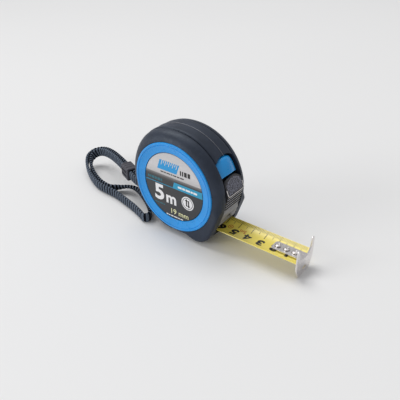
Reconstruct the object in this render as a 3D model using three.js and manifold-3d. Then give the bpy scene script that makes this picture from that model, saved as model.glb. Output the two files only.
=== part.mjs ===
// A 5 m pocket tape measure with a rubber-covered case, two front controls, a folded wrist strap and
// a belt clip, drawn out by 57 mm. Units are millimetres. +X is the way the blade pulls out, +Z is up
// and -Y is the labelled side. The origin is on the surface the case stands on, below the drum axis.
import * as THREE from 'three';
import { mergeVertices } from 'three/addons/utils/BufferGeometryUtils.js';
import Module from 'manifold-3d';

const wasm = await Module();
wasm.setup();

// Case
const AXIS_Z = 37;              // drum axis above the rest surface
const CASE_R = 38;              // round top and back of the side bulges
const HUMP = { height: 1.6, angle: 125, width: 27 };   // the round is a little fuller at the rear top
const BAND_PROUD = 0.6;         // the middle band stands this much above the bulges
const BULGE_OUT_Y = 17;         // outer face of a side bulge
const BULGE_IN_Y = 9.2;         // inner edge of a side bulge, where the groove is
const BULGE_END_Y = 9.7;         // the rounding of a bulge ends here
const BULGE_ROUND = 8;          // and reaches this far in from the outline
const BULGE_TIGHT = 0.25;       // share of the rounding that is left at the toe and the front slope
const FAR_OUT_Y = 15.9;         // the bulge on the clip side is slimmer
const SHELL_INSET = 4;          // hard shell inside the rubber
const WALL = 2;
const SHELL_ROUND = 3;
const SHELL_FACE_Y = 15;
const GAP = 0.3;                // between touching pieces
const SEAM_Y = 0.6;             // parting plane of the two case halves, and half of the gap at it
const SEAM = 0.15;
const FOOT_FRONT_X = 14;        // front end of the flat base
const CHIN = [31, 11];          // where the curved toe meets the front slope
const NOSE_Z = 27;              // where the front slope meets the round
const ARC_STEPS = 16;

// Ring and label
const RING_OUT_R = 32.2;
const RING_IN_R = 25;
const RING_Y = 17.5;            // highest point of the ring
const LABEL_Y = 15.9;

// Blade and hook
const BLADE_HALF = 9.5;         // 19 mm blade
const BLADE_EDGE_Z = 12.8;
const BLADE_CURVE_R = 21.6;     // radius of the concave cross-section
const BLADE_THICK = 0.45;
const BLADE_END_X = 90;
const BLADE_SPLIT_X = 36;       // the blade is stiff from here out and bends on to the drum behind
const BLADE_ROOT_X = 5;
const HOOK_THICK = 1;
const HOOK_HALF = 10.6;
const HOOK_LOW_Z = 0.5;
const HOOK_HIGH_Z = 22.2;
const TONGUE_X = 69;
const TONGUE_Z = 11.5;
const TONGUE_HALF = 4.2;
const HOOK_FLOAT = 1;
const RIVET_XS = [72.3, 78.5, 84.3];
const RIVET_SHANK_R = 0.9;

// Drum
const REEL_BORE_R = 13;
const REEL_R = 15;
const FLANGE_R = 23.6;
const COIL_R = 22.5;
const REEL_HALF = 11.6;

// Front controls
const CHANNEL_HALF = 9.6;
const MOUTH = { x: [23, 42], half: 10.6, z: [9.2, 15.2] };
const CONTROL_HALF = 8.9;
const BUTTON_LOW_Z = 49.2;
const BUTTON_NOTCH = { r: 16.2, z: 36.4 };   // round cut in the button's lower edge
const SLIDER_TOP = { r: 11.9, z: 39.4 };     // round top of the slider below it
const BUTTON_SIDE_Z = 56.5;
const BUTTON_TOP_Z = 62;
const BUTTON_ANGLE = 0.5;       // direction of the press above the horizontal, in radians

// Strap: a flat braid folded in two, its width upright
const STRAP_WIDTH = 7.2;
const STRAP_THICK = 2.6;
const LAYER_OFFSET = 1.6;       // each layer from the middle of the pair
const PAIR_ROUTE = [            // middle of the two layers, from the case to where they part
  [-28.3, 0, 17.2], [-36, 0, 17.2], [-44, 0.4, 17.2], [-52.6, 2.3, 17.3], [-66.4, 8.1, 17.4],
  [-80.2, 13.9, 17.5], [-91, 18.2, 17], [-102, 22, 16], [-114, 24.6, 13.8], [-121.6, 22.4, 11.4],
  [-122.6, 16.2, 9], [-117, 9.4, 7.2], [-108.3, 3.4, 5.6], [-96.7, -2.2, 4.5], [-85.8, -5.6, 4.1],
  [-77.5, -6.2, 4],
];
const OPEN_ROUTE = [            // the outer layer out to the fold and back to the pair
  [-68, -8.2, 4], [-54.3, -10.8, 4], [-40.3, -14.2, 4], [-31.6, -17.2, 4], [-27.2, -18.8, 4],
  [-24.6, -17.2, 4], [-25.9, -13.6, 4], [-30.2, -9.2, 4.1], [-36.5, -4.3, 4.4], [-45.9, 0.9, 5.2],
  [-55.7, 4.2, 5.8], [-64.5, 4.2, 5.4], [-71, 0.9, 4.4],
];
const STOPPER_POS = [-66.4, 8.1, 17.4];
const STOPPER_ANGLE = Math.atan2(11.6, -27.6);   // direction of the straight stretch it sits on
const STOPPER_SIZE = [13, 9, 10.4];

// Belt clip
const CLIP_IN_Y = 22.2;
const CLIP_HALF = 15;

const DARK = { color: 0x2b2c31, roughness: 0.55 };
const RUBBER = { color: 0x3a3b42, roughness: 0.75 };
const BLUE = { color: 0x2a90e0, roughness: 0.35 };
const STEEL = { color: 0xc9c6c4, roughness: 0.3, metalness: 1 };
const SPRING = { color: 0x8d8f94, roughness: 0.35, metalness: 1 };
const YELLOW = { color: 0xe8d84a, roughness: 0.35 };
const PRINT = { color: 0x3a3c40, roughness: 0.4 };
const BRAID = { color: 0x2c3a50, roughness: 0.9 };
const PLASTIC = { color: 0x35353c, roughness: 0.6 };

const tape = new THREE.Group();

// ---- solids -------------------------------------------------------------------------------------

function toSolid(geometry) {
  const bare = geometry.index ? geometry.toNonIndexed() : geometry.clone();
  bare.deleteAttribute('normal');
  bare.deleteAttribute('uv');
  const merged = mergeVertices(bare, 1e-4);
  return new wasm.Manifold(new wasm.Mesh({
    numProp: 3,
    vertProperties: new Float32Array(merged.attributes.position.array),
    triVerts: new Uint32Array(merged.index.array),
  }));
}

function toGeometry(solid) {
  const mesh = solid.getMesh();
  const geometry = new THREE.BufferGeometry();
  geometry.setAttribute('position', new THREE.BufferAttribute(mesh.vertProperties, 3));
  geometry.setIndex(new THREE.BufferAttribute(mesh.triVerts, 1));
  geometry.computeVertexNormals();
  return geometry;
}

function join(first, ...others) {
  return others.reduce((solid, other) => solid.add(toSolid(other)), toSolid(first));
}

function cut(solid, ...tools) {
  return toGeometry(tools.reduce((left, tool) => left.subtract(toSolid(tool)), solid));
}

function add(name, geometry, look) {
  const mesh = new THREE.Mesh(geometry, new THREE.MeshStandardMaterial(look));
  mesh.name = name;
  tape.add(mesh);
  return mesh;
}

function box([x0, x1], [y0, y1], [z0, z1]) {
  const geometry = new THREE.BoxGeometry(x1 - x0, y1 - y0, z1 - z0);
  return geometry.translate((x0 + x1) / 2, (y0 + y1) / 2, (z0 + z1) / 2);
}

// A side-view outline in X and Z, thick from yLow to yHigh. A bevel rounds both long edges.
function slab(shape, yLow, yHigh, bevel = 0, bevelSegments = 1) {
  const geometry = new THREE.ExtrudeGeometry(shape, {
    depth: yHigh - yLow - 2 * bevel,
    bevelEnabled: bevel > 0,
    bevelThickness: bevel,
    bevelSize: bevel,
    bevelOffset: -bevel,
    bevelSegments,
    curveSegments: ARC_STEPS,
  });
  return geometry.rotateX(Math.PI / 2).translate(0, yHigh - bevel, 0);
}

// A front-view outline in Y and Z, long from xLow to xHigh.
function beam(shape, xLow, xHigh) {
  const geometry = new THREE.ExtrudeGeometry(shape, {
    depth: xHigh - xLow, bevelEnabled: false, curveSegments: ARC_STEPS,
  });
  const turn = new THREE.Matrix4().makeBasis(
    new THREE.Vector3(0, 1, 0), new THREE.Vector3(0, 0, 1), new THREE.Vector3(1, 0, 0),
  );
  return geometry.applyMatrix4(turn).translate(xLow, 0, 0);
}

// A round piece about a line along Y through (x, z). The profile is [radius, y] pairs.
function roundY(profile, x, z, segments = 32) {
  const points = profile.map(([r, y]) => new THREE.Vector2(r, y));
  return new THREE.LatheGeometry(points, segments).translate(x, 0, z);
}

// A round piece about a line along Z through (x, y). The profile is [radius, z] pairs.
function roundZ(profile, x, y, segments = 16) {
  const points = profile.map(([r, z]) => new THREE.Vector2(r, z));
  return new THREE.LatheGeometry(points, segments).rotateX(Math.PI / 2).translate(x, y, 0);
}

// A closed solid through rings of equally many points, from low Y to high Y, flat at both ends.
function loft(rings) {
  const count = rings[0].length;
  const index = [];
  for (let k = 0; k + 1 < rings.length; k += 1) {
    for (let i = 0; i < count; i += 1) {
      const [a, b] = [k * count + i, k * count + ((i + 1) % count)];
      index.push(a, b + count, b, a, a + count, b + count);
    }
  }
  for (const [k, order] of [[0, [0, 1, 2]], [rings.length - 1, [0, 2, 1]]]) {
    const flat = rings[k].map(([x, , z]) => new THREE.Vector2(x, z));
    for (const face of THREE.ShapeUtils.triangulateShape(flat, [])) {
      index.push(...order.map((corner) => k * count + face[corner]));
    }
  }
  const geometry = new THREE.BufferGeometry();
  geometry.setAttribute('position', new THREE.Float32BufferAttribute(rings.flat(2), 3));
  geometry.setIndex(index);
  return geometry;
}

function rodY(radius, x, z, yLow, yHigh, segments = 16) {
  const geometry = new THREE.CylinderGeometry(radius, radius, yHigh - yLow, segments);
  return geometry.translate(x, (yLow + yHigh) / 2, z);
}

function rodZ(radius, x, y, zLow, zHigh, segments = 16) {
  const geometry = new THREE.CylinderGeometry(radius, radius, zHigh - zLow, segments);
  return geometry.rotateX(Math.PI / 2).translate(x, y, (zLow + zHigh) / 2);
}

function rodX(radius, z, xLow, xHigh, segments = 48) {
  const geometry = new THREE.CylinderGeometry(radius, radius, xHigh - xLow, segments);
  return geometry.rotateZ(Math.PI / 2).translate((xLow + xHigh) / 2, 0, z);
}

function polygon(points) {
  const shape = new THREE.Shape();
  points.forEach(([a, b], i) => (i === 0 ? shape.moveTo(a, b) : shape.lineTo(a, b)));
  shape.closePath();
  return shape;
}

// ---- case ---------------------------------------------------------------------------------------

// Radius of the round part of the case at an angle in radians, for the bulges' outline.
function roundRadius(angle) {
  const off = (THREE.MathUtils.radToDeg(angle) - HUMP.angle) / HUMP.width;
  return CASE_R + HUMP.height * Math.exp(-off * off);
}

// Round top and back, flat base, curved toe and a front slope, all moved in by inset.
function caseOutline(inset, floor = inset) {
  const front = Math.asin((NOSE_Z - AXIS_Z) / (CASE_R - inset));
  const back = Math.PI - Math.asin((floor - AXIS_Z) / (CASE_R - inset));
  const steps = 2 * ARC_STEPS;
  const shape = new THREE.Shape();
  shape.moveTo(FOOT_FRONT_X - 0.3 * inset, floor);
  shape.quadraticCurveTo(26 - inset, floor + 0.5, CHIN[0] - inset, CHIN[1]);
  for (let i = 0; i <= steps; i += 1) {
    const angle = front + ((back - front) * i) / steps;
    const r = roundRadius(angle) - inset;
    shape.lineTo(r * Math.cos(angle), Math.max(floor, AXIS_Z + r * Math.sin(angle)));
  }
  shape.closePath();
  return shape;
}

// How much of a bulge's rounding there is at (x, z): all of it, except at the toe and front slope.
function roundingShare(x, z) {
  const angle = THREE.MathUtils.radToDeg(Math.atan2(z - AXIS_Z, x));
  const rise = THREE.MathUtils.smoothstep(angle, -78, -56);
  const fall = 1 - THREE.MathUtils.smoothstep(angle, -16, -4);
  return 1 - (1 - BULGE_TIGHT) * rise * fall;
}

// A side bulge: rounded from its face to its crest, then stepped down to the groove.
function bulgeSolid(face) {
  const rim = caseOutline(0).getPoints(ARC_STEPS).map((p) => [p.x, p.y]);
  const inner = caseOutline(BULGE_ROUND, BULGE_ROUND).getPoints(ARC_STEPS).map((p) => [p.x, p.y]);
  const ring = (toPlace) => rim.map(([x, z], i) => {
    const [inset, y] = toPlace(roundingShare(x, z));
    const t = inset / BULGE_ROUND;
    return [x + (inner[i][0] - x) * t, y, z + (inner[i][1] - z) * t];
  });
  const rings = [];
  const steps = 5;
  for (let k = 0; k <= steps; k += 1) {
    const turn = (Math.PI / 2) * (k / steps);
    rings.push(ring((share) => [
      BULGE_ROUND * share * (1 - Math.sin(turn)),
      -face + (face - BULGE_END_Y) * share * (1 - Math.cos(turn)),
    ]));
  }
  rings.push(ring(() => [0, -BULGE_END_Y + 0.05]), ring(() => [0.3, -BULGE_IN_Y - 0.15]));
  rings.push(ring(() => [1.6, -BULGE_IN_Y]));
  return loft(rings);
}

// The window of the front channel: straight sides, arched over the push button.
function archWindow(half, low, side, top) {
  const shape = new THREE.Shape();
  shape.moveTo(-half, low);
  shape.lineTo(half, low);
  shape.lineTo(half, side);
  shape.quadraticCurveTo(half, top, 0, top);
  shape.quadraticCurveTo(-half, top, -half, side);
  shape.closePath();
  return shape;
}

const CASE_SCREWS = [55, 125, 182].map((degrees) => {
  const angle = THREE.MathUtils.degToRad(degrees);
  return [28.3 * Math.cos(angle), AXIS_Z + 28.3 * Math.sin(angle)];
});
const CLIP_SCREW = [0, AXIS_Z + 19];

const mouthCut = box(MOUTH.x, [-MOUTH.half, MOUTH.half], MOUTH.z);
const channelCut = beam(archWindow(CHANNEL_HALF, MOUTH.z[1] - 0.1, 57.5, 63.2), 22, 50);
const noseCut = box([24, 50], [-CHANNEL_HALF, CHANNEL_HALF], [MOUTH.z[1] - 0.1, 25.8]);
const strapCut = box([-45, -25.4], [-3.6, 3.6], [12.6, 21.8]);
const bladeCut = box([-20.4, 24], [-10.3, 10.3], [8.9, 13.9]);
const footCut = box([1.4, 16.6], [-6.6, 6.6], [-2, 8]);

// Each half is made on the -Y side; side is -1 for the labelled half and +1 for the clip half, which
// is mirrored over. This is the Y where a half ends before it is mirrored.
function seamEdge(side) {
  return -side * SEAM_Y - SEAM;
}

function half(geometry, side) {
  return side < 0 ? geometry : geometry.scale(1, -1, 1);
}

function flipIfMirrored(geometry, side) {
  if (side < 0) return geometry;
  const index = geometry.index.array;
  for (let i = 0; i < index.length; i += 3) {
    [index[i], index[i + 1]] = [index[i + 1], index[i]];
  }
  return geometry;
}

function shellHalf(side) {
  const seam = seamEdge(side);
  const whole = toSolid(slab(caseOutline(SHELL_INSET), -SHELL_FACE_Y, 8, SHELL_ROUND, 2));
  const outer = whole.subtract(toSolid(box([-60, 60], [seam, 20], [-10, 100])));
  const hollow = toSolid(slab(caseOutline(SHELL_INSET + WALL), -SHELL_FACE_Y + WALL, 2));
  const shoulder = -SHELL_FACE_Y + WALL - 0.5;
  let shell = outer.subtract(hollow);
  const boreRadius = side < 0 ? 1 : 1.7;
  for (const [x, z] of CASE_SCREWS) {
    shell = shell.add(toSolid(rodY(3, x, z, shoulder, seam)));
  }
  if (side > 0) {
    const [x, z] = CLIP_SCREW;
    shell = shell.add(toSolid(rodY(6, x, z, -CLIP_IN_Y + GAP, -SHELL_FACE_Y + 0.5, 20)));
  }
  shell = shell.add(toSolid(springSeat(seam)));
  const bores = CASE_SCREWS.map(([x, z]) => rodY(boreRadius, x, z, side < 0 ? -11 : -20, 2));
  if (side > 0) bores.push(rodY(1.2, CLIP_SCREW[0], CLIP_SCREW[1], -30, -10));
  const windows = [
    mouthCut, noseCut, strapCut, bladeCut, footCut,
    beam(archWindow(CHANNEL_HALF, 48.1, 57.5, 63.2), 22, 50),
    box([27, 50], [-5.2, 5.2], [30.4, 42.3]),
  ];
  return flipIfMirrored(half(cut(shell, ...bores, ...windows), side), side);
}

// The rib behind the push button that its spring stands on, joined to the shell's side wall.
function springSeat(seam) {
  const rib = box([25.2, 26.8], [-SHELL_FACE_Y + 0.5, seam], [-4, 4]);
  return rib.rotateY(-BUTTON_ANGLE).translate(0, 0, AXIS_Z);
}

function gripHalf(side) {
  const seam = seamEdge(side);
  const core = slab(caseOutline(1.4), -BULGE_IN_Y - 0.5, seam);
  const bulge = bulgeSolid(side < 0 ? BULGE_OUT_Y : FAR_OUT_Y);
  const band = slab(caseOutline(-BAND_PROUD, 0), -BULGE_IN_Y + 0.6, 3, 1, 1);
  const otherSide = box([-60, 60], [seam, 10], [-10, 100]);
  const pocket = slab(caseOutline(SHELL_INSET - GAP), -SHELL_FACE_Y - GAP, 8, SHELL_ROUND + GAP, 2);
  const ringSeat = rodY(RING_OUT_R + GAP, 0, AXIS_Z, -20, -SHELL_FACE_Y, 40);
  const geometry = cut(
    join(core, bulge, band), otherSide, pocket, ringSeat,
    mouthCut, channelCut, noseCut, strapCut, footCut,
  );
  return flipIfMirrored(half(geometry, side), side);
}

function trimRing(side) {
  const back = -SHELL_FACE_Y - GAP;
  const profile = [
    [RING_IN_R, back], [RING_IN_R, -RING_Y + 1.2], [RING_OUT_R - 1.6, -RING_Y],
    [RING_OUT_R - 0.8, -RING_Y], [RING_OUT_R, -RING_Y + 0.5], [RING_OUT_R, back], [RING_IN_R, back],
  ];
  const ring = toSolid(roundY(profile, 0, AXIS_Z, 40));
  const holes = side > 0 ? CASE_SCREWS.map(([x, z]) => rodY(3, x, z, -20, -10)) : [];
  return flipIfMirrored(half(cut(ring, ...holes), side), side);
}

function buildCase() {
  for (const [side, name] of [[-1, 'near'], [1, 'far']]) {
    add(`case_shell_${name}`, shellHalf(side), DARK);
    add(`rubber_grip_${name}`, gripHalf(side), RUBBER);
    add(`trim_ring_${name}`, trimRing(side), BLUE);
  }
  const labelBack = -SHELL_FACE_Y - GAP;
  add('label_near', rodY(RING_IN_R - GAP, 0, AXIS_Z, -LABEL_Y, labelBack, 40), PRINT);
  add('centre_post', rodY(4.5, 0, AXIS_Z, -12.7, 12.7, 20), DARK);
  CASE_SCREWS.forEach(([x, z], i) => {
    const screw = roundY(
      [[0, -9], [0.7, -9], [0.7, 15.3], [2.4, 15.3], [2.4, 16.6], [0, 16.9]], x, z, 12,
    );
    add(`case_screw_${i + 1}`, screw, STEEL);
  });
}

// ---- drum ---------------------------------------------------------------------------------------

function spiralSpring() {
  const turns = 3.5;
  const steps = 42;
  const inner = 5.3;
  const outer = REEL_BORE_R - GAP - 0.5;
  const at = (i, offset) => {
    const angle = (i / steps) * turns * 2 * Math.PI;
    const r = inner + (outer - inner) * (i / steps) + offset;
    return [r * Math.cos(angle), AXIS_Z + r * Math.sin(angle)];
  };
  const points = [];
  for (let i = 0; i <= steps; i += 1) points.push(at(i, 0.4));
  for (let i = steps; i >= 0; i -= 1) points.push(at(i, -0.2));
  return slab(polygon(points), -9, 9);
}

function buildDrum() {
  const flange = REEL_HALF - 1;
  const reel = [
    [REEL_BORE_R, -REEL_HALF], [FLANGE_R, -REEL_HALF], [FLANGE_R, -flange], [REEL_R, -flange],
    [REEL_R, flange], [FLANGE_R, flange], [FLANGE_R, REEL_HALF], [REEL_BORE_R, REEL_HALF],
    [REEL_BORE_R, -REEL_HALF],
  ];
  const coil = [
    [REEL_R + GAP, -BLADE_HALF], [COIL_R, -BLADE_HALF], [COIL_R, BLADE_HALF],
    [REEL_R + GAP, BLADE_HALF], [REEL_R + GAP, -BLADE_HALF],
  ];
  add('reel', roundY(reel, 0, AXIS_Z, 28), PLASTIC);
  add('tape_coil', roundY(coil, 0, AXIS_Z, 28), YELLOW);
  add('power_spring', spiralSpring(), SPRING);
}

// ---- blade and hook -----------------------------------------------------------------------------

function bladeShape() {
  const centre = BLADE_EDGE_Z + Math.sqrt(BLADE_CURVE_R ** 2 - BLADE_HALF ** 2);
  const outer = BLADE_CURVE_R + BLADE_THICK;
  const reach = Math.asin(BLADE_HALF / BLADE_CURVE_R);
  const steps = 8;
  const arc = (r, i) => {
    const angle = reach * ((2 * i) / steps - 1);
    return [r * Math.sin(angle), centre - r * Math.cos(angle)];
  };
  const points = [];
  for (let i = 0; i <= steps; i += 1) points.push(arc(outer, i));
  for (let i = steps; i >= 0; i -= 1) points.push(arc(BLADE_CURVE_R, i));
  return polygon(points);
}

function hookPlate() {
  const shape = polygon([
    [-7.2, HOOK_LOW_Z], [7.2, HOOK_LOW_Z], [HOOK_HALF, 8.2], [HOOK_HALF, 19.5], [10.2, HOOK_HIGH_Z],
    [8.6, HOOK_HIGH_Z], [7.6, 15.5], [TONGUE_HALF, 12.3], [-TONGUE_HALF, 12.3], [-7.6, 15.5],
    [-8.6, HOOK_HIGH_Z], [-10.2, HOOK_HIGH_Z], [-HOOK_HALF, 19.5], [-HOOK_HALF, 8.2],
  ]);
  const front = BLADE_END_X + GAP;
  const plate = beam(shape, front, front + HOOK_THICK);
  const tongue = box([TONGUE_X, front + 0.5], [-TONGUE_HALF, TONGUE_HALF], [TONGUE_Z, 12.3]);
  const nailSlot = box([front - 1, front + 3], [-2.2, 2.2], [4, 5.8]);
  const slotHalf = RIVET_SHANK_R + 0.3;
  const slots = RIVET_XS.map((x) => (
    box([x - slotHalf - HOOK_FLOAT, x + slotHalf], [-slotHalf, slotHalf], [10, 14])
  ));
  return cut(join(plate, tongue), nailSlot, ...slots);
}

function buildBlade() {
  const holes = RIVET_XS.map((x) => rodZ(RIVET_SHANK_R + GAP, x, 0, 8, 14, 12));
  const stiff = toSolid(beam(bladeShape(), BLADE_SPLIT_X, BLADE_END_X));
  add('blade', cut(stiff, ...holes), YELLOW);
  add('blade_inner', beam(bladeShape(), BLADE_ROOT_X, BLADE_SPLIT_X - GAP), YELLOW);
  add('end_hook', hookPlate(), STEEL);
  RIVET_XS.forEach((x, i) => {
    const rivet = roundZ([
      [0, 9.2], [1.9, 9.4], [1.9, 9.8], [RIVET_SHANK_R, 9.8], [RIVET_SHANK_R, 12.6], [2, 12.6],
      [1.6, 13.2], [0, 13.4],
    ], x, 0, 12);
    add(`rivet_${i + 1}`, rivet, STEEL);
  });
}

// ---- front controls -----------------------------------------------------------------------------

function buildMouth() {
  const lip = polygon([
    [29.2, 15.5], [32.4, 15.5], [33.3, 18.8], [34.5, 22.6], [35.2, 24.9], [34.9, 27.3], [33.2, 27.3],
    [32.9, 25.4], [29.2, 25.4],
  ]);
  add('mouth_lip', slab(lip, -9.2, 9.2), PLASTIC);
}

function buildLock() {
  const cap = polygon([
    [35.5, 27.8], [36.4, 27.8], [36.9, 31], [37.7, 34], [38.6, 37.2], [39.6, 40], [39.2, 41.2],
    [37.8, 44.8], [36.6, 48], [35.7, 51.6], [34.7, 51.6], [34.7, 31.6], [35.5, 30.8],
  ]);
  const stem = box([27.6, 35], [-4.4, 4.4], [35.5, 41.5]);
  const slider = join(slab(cap, -CONTROL_HALF, CONTROL_HALF, 0.3), stem);
  const roundTop = join(
    rodX(SLIDER_TOP.r, SLIDER_TOP.z, 20, 50), box([20, 50], [-CONTROL_HALF - 1, CONTROL_HALF + 1], [20, 46.5]),
  );
  add('lock_slider', toGeometry(slider.intersect(roundTop)), PLASTIC);
  const shoe = polygon([
    [24.9, 15.9], [28, 15.6], [28, 21], [27.3, 28], [27.3, 41], [25.3, 41], [25.3, 30],
  ]);
  add('lock_shoe', slab(shoe, -4.2, 4.2), PLASTIC);
}

// The push button follows the round of the case between its two rims, under an arched top.
function buttonCap() {
  const inner = CASE_R - 3.2;
  const outer = CASE_R + 0.6;
  const sector = new THREE.Shape();
  sector.absarc(0, AXIS_Z, outer, 0.25, 0.9, false);
  sector.absarc(0, AXIS_Z, inner, 0.9, 0.25, true);
  sector.closePath();
  const window = archWindow(CONTROL_HALF - 0.1, BUTTON_LOW_Z, BUTTON_SIDE_Z, BUTTON_TOP_Z);
  const notch = toSolid(rodX(BUTTON_NOTCH.r, BUTTON_NOTCH.z, 20, 50));
  const cap = toSolid(slab(sector, -12, 12)).intersect(toSolid(beam(window, 20, 50))).subtract(notch);
  const stem = box([31, 35.2], [-1.5, 1.5], [-1.5, 1.5]).rotateY(-BUTTON_ANGLE).translate(0, 0, AXIS_Z);
  return toGeometry(cap.add(toSolid(stem)));
}

class Helix extends THREE.Curve {
  constructor(radius, length, turns) {
    super();
    Object.assign(this, { radius, length, turns });
  }

  getPoint(t) {
    const angle = t * this.turns * 2 * Math.PI;
    return new THREE.Vector3(
      t * this.length, this.radius * Math.cos(angle), this.radius * Math.sin(angle),
    );
  }
}

function buildButton() {
  add('push_button', buttonCap(), BLUE);
  const wire = new THREE.Shape();
  wire.absarc(0, 0, 0.35, 0, 2 * Math.PI, false);
  const spring = new THREE.ExtrudeGeometry(wire, {
    steps: 32, curveSegments: 3, bevelEnabled: false, extrudePath: new Helix(2.9, 6.3, 4),
  });
  spring.translate(27.7, 0, 0).rotateY(-BUTTON_ANGLE).translate(0, 0, AXIS_Z);
  add('button_spring', spring, SPRING);
}

function buildBottomStop() {
  const pad = box([2, 16], [-6, 6], [0.6, 4]);
  const stem = box([6, 12], [-3, 3], [3.5, 8]);
  add('bottom_stop', toGeometry(join(pad, stem)), PLASTIC);
}

// ---- strap --------------------------------------------------------------------------------------

// A smooth route whose sections stay upright, so that a flat braid keeps its width along Z.
class UprightRoute extends THREE.CatmullRomCurve3 {
  computeFrenetFrames(segments) {
    const frames = { tangents: [], normals: [], binormals: [] };
    for (let i = 0; i <= segments; i += 1) {
      const tangent = this.getTangentAt(i / segments);
      const normal = new THREE.Vector3(-tangent.y, tangent.x, 0).normalize();
      frames.tangents.push(tangent);
      frames.normals.push(normal);
      frames.binormals.push(new THREE.Vector3().crossVectors(tangent, normal));
    }
    return frames;
  }
}

// Points of one layer of the pair: side is -1 for the outer layer and +1 for the inner one.
function layerPoints(side, steps = 30) {
  const middle = new UprightRoute(PAIR_ROUTE.map((p) => new THREE.Vector3(...p)), false, 'centripetal');
  const { normals } = middle.computeFrenetFrames(steps);
  return normals.map((normal, i) => (
    middle.getPointAt(i / steps).addScaledVector(normal, side * LAYER_OFFSET)
  ));
}

function strapRoute() {
  const open = OPEN_ROUTE.map((p) => new THREE.Vector3(...p));
  const points = [...layerPoints(-1), ...open, ...layerPoints(1).reverse()];
  return new UprightRoute(points, false, 'centripetal');
}

function buildStrap() {
  const a = STRAP_THICK / 2;
  const b = STRAP_WIDTH / 2;
  const section = polygon([
    [a, -b + 0.6], [a, b - 0.6], [a - 0.5, b], [-a + 0.5, b], [-a, b - 0.6], [-a, -b + 0.6],
    [-a + 0.5, -b], [a - 0.5, -b],
  ]);
  const strap = new THREE.ExtrudeGeometry(section, {
    steps: 76, bevelEnabled: false, extrudePath: strapRoute(),
  });
  add('wrist_strap', strap, BRAID);

  const [length, across, height] = STOPPER_SIZE;
  const block = toSolid(new THREE.BoxGeometry(length, across, height));
  const channel = new THREE.BoxGeometry(length + 2, 6.6, STRAP_WIDTH + 0.8);
  const stopper = add('strap_stopper', cut(block, channel), PLASTIC);
  stopper.position.set(...STOPPER_POS);
  stopper.rotation.z = STOPPER_ANGLE;

  add('strap_pin', rodZ(1.1, -27, 0, 12.9, 21.5, 12), STEEL);
}

// ---- belt clip ----------------------------------------------------------------------------------

function buildClip() {
  const screwZ = CLIP_SCREW[1];
  const profile = new THREE.Shape();
  profile.moveTo(CLIP_IN_Y, screwZ + 7);
  profile.lineTo(CLIP_IN_Y, 14);
  profile.lineTo(CLIP_IN_Y + 1.6, 10);
  profile.lineTo(CLIP_IN_Y + 2.4, 10.4);
  profile.lineTo(CLIP_IN_Y + 0.9, 14.2);
  profile.lineTo(CLIP_IN_Y + 0.9, screwZ + 7);
  profile.closePath();
  const plate = toSolid(beam(profile, -CLIP_HALF, CLIP_HALF));
  const corner = (side) => polygon([
    [side * (CLIP_HALF + 1), 44], [side * (CLIP_HALF + 1), screwZ + 9], [side * 7, screwZ + 9],
  ]);
  const trims = [-1, 1].map((side) => slab(corner(side), 18, 28));
  add('belt_clip', cut(plate, ...trims, rodY(1.5, CLIP_SCREW[0], screwZ, 18, 28, 12)), STEEL);
  const screw = roundY(
    [[0, 14], [0.9, 14], [0.9, 23.4], [3, 23.4], [2.6, 24.6], [0, 24.9]], CLIP_SCREW[0], screwZ, 16,
  );
  add('clip_screw', screw, STEEL);
}

buildCase();
buildDrum();
buildBlade();
buildMouth();
buildLock();
buildButton();
buildBottomStop();
buildStrap();
buildClip();

export default tape;
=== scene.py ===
"""Looks of the pocket tape measure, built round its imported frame.

Lengths are in millimetres and turned into metres when a mesh is made. +X is the way the blade pulls
out, +Z is up and -Y is the labelled side.
"""

import math

import bmesh
import bpy
from mathutils import Matrix, Vector


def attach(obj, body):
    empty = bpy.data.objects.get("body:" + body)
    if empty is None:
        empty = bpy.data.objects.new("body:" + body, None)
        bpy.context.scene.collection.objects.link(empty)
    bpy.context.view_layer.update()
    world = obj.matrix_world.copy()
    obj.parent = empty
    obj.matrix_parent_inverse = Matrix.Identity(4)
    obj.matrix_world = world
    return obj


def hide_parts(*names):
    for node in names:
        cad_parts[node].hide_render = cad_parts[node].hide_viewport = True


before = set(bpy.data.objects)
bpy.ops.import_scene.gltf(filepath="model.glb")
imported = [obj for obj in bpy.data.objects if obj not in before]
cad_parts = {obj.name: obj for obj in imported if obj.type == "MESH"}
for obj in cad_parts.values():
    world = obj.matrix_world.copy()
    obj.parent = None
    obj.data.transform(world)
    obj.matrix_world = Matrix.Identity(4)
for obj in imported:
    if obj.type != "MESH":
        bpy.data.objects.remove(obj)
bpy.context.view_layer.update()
MM = 0.001

# Case
AXIS_Z = 37.0
CASE_R = 38.0
NOSE_Z = 27.0
CHIN = (31.0, 11.0)
FOOT_FRONT_X = 14.0
HUMP, HUMP_ANGLE, HUMP_WIDTH = 1.6, 125, 27   # the round is a little fuller at the rear top
SHELL_INSET = 4.0
BULGE_ROUND = 8.0
BULGE_END_Y = 9.7
BULGE_TIGHT = 0.25
RING_OUT_R = 32.2
RING_IN_R = 25.0
LABEL_R = 24.7
LABEL_Y = -15.9
CHANNEL_HALF = 9.6
CONTROL_HALF = 8.9
BUTTON_ANGLE = 0.5
BUTTON_NOTCH = (16.2, 36.4)     # radius and centre height of the hollow in the button's lower edge
BUTTON_ROUND = 0.9
SLIDER_TOP = (11.9, 39.4)       # radius and centre height of the slider's round top
RIB_COUNT, RIB_DEPTH = 5, 0.55  # ribs on the slider's lower part
SCREW_CIRCLE_R, SCREW_ANGLES = 28.3, (55, 125, 182)

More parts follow.
